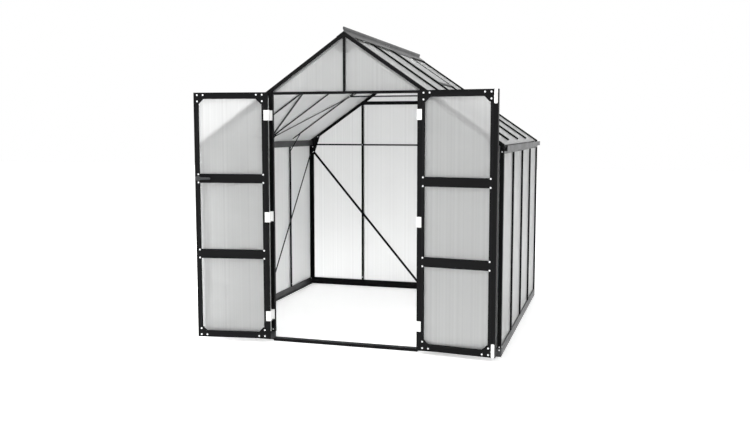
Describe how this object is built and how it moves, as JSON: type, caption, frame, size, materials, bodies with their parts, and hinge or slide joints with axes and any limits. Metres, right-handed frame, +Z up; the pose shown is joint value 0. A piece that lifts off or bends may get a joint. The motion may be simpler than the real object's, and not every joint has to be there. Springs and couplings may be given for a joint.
{
  "type": "garden greenhouse",
  "caption": "Free-standing gabled garden greenhouse: dark bar frame, twin-wall glazing, hinged double door and a closed roof vent.",
  "frame": {"origin": "on the ground under the middle of the door threshold, in the plane of the front wall's outer face", "axes": "+Z up, +Y from the door into the house, +X to the right when facing the door"},
  "size_m": [2.5526, 2.6982, 2.512],
  "materials": {
    "frame": "anthracite powder coat, satin",
    "trim": "dark grey powder coat, satin",
    "glazing": "translucent twin-wall sheet, faint upright ribs",
    "hinge": "white moulded plastic",
    "fixing": "bright zinc-plated screws"
  },
  "bodies": {
    "house": {"door_lintel": "frame", "door_threshold": "trim", "front_gable_bar": "frame", "front_gable_sheet": "glazing", "front_left_base_rail": "trim", "front_left_post": "frame", "front_left_rafter": "frame", "front_left_sheet": "glazing", "front_right_base_rail": "trim", "front_right_post": "frame", "front_right_rafter": "frame", "front_right_sheet": "glazing", "left_base_rail": "trim", "left_door_jamb": "frame", "left_eave_beam": "trim", "left_roof_bar_1": "frame", "left_roof_bar_2": "frame", "left_roof_bar_3": "frame", "left_roof_sheet": "glazing", "left_wall_bar_1": "frame", "left_wall_bar_2": "frame", "left_wall_bar_3": "frame", "left_wall_sheet": "glazing", "rear_base_rail": "trim", "rear_collar_rail": "frame", "rear_eave_rail": "frame", "rear_left_post": "frame", "rear_left_rafter": "frame", "rear_right_post": "frame", "rear_right_rafter": "frame", "rear_wall_bar_1": "frame", "rear_wall_bar_2": "frame", "rear_wall_bar_3": "frame", "rear_wall_sheet": "glazing", "ridge_beam": "trim", "right_base_rail": "trim", "right_door_jamb": "frame", "right_eave_beam": "trim", "right_roof_bar_1": "frame", "right_roof_bar_2": "frame", "right_roof_bar_3": "frame", "right_roof_sheet": "glazing", "right_wall_bar_1": "frame", "right_wall_bar_2": "frame", "right_wall_bar_3": "frame", "right_wall_sheet": "glazing", "roof_vent_frame": "trim", "roof_vent_sheet": "glazing"},
    "left_door": {"door_handle": "trim", "left_door_frame": "frame", "left_door_hinge_1": "hinge", "left_door_hinge_2": "hinge", "left_door_hinge_3": "hinge", "left_door_sheet": "glazing"},
    "right_door": {"right_door_frame": "frame", "right_door_hinge_1": "hinge", "right_door_hinge_2": "hinge", "right_door_hinge_3": "hinge", "right_door_sheet": "glazing"}
  },
  "joints": [
    {"name": "left_door_hinge", "type": "hinge", "parent": "house", "child": "left_door", "pos_m": [-0.615, -0.046, 1.02], "axis": [0, 0, 1], "range_deg": [-9, 171]},
    {"name": "right_door_hinge", "type": "hinge", "parent": "house", "child": "right_door", "pos_m": [0.615, -0.046, 1.02], "axis": [0, 0, -1], "range_deg": [-6, 174]}
  ]
}
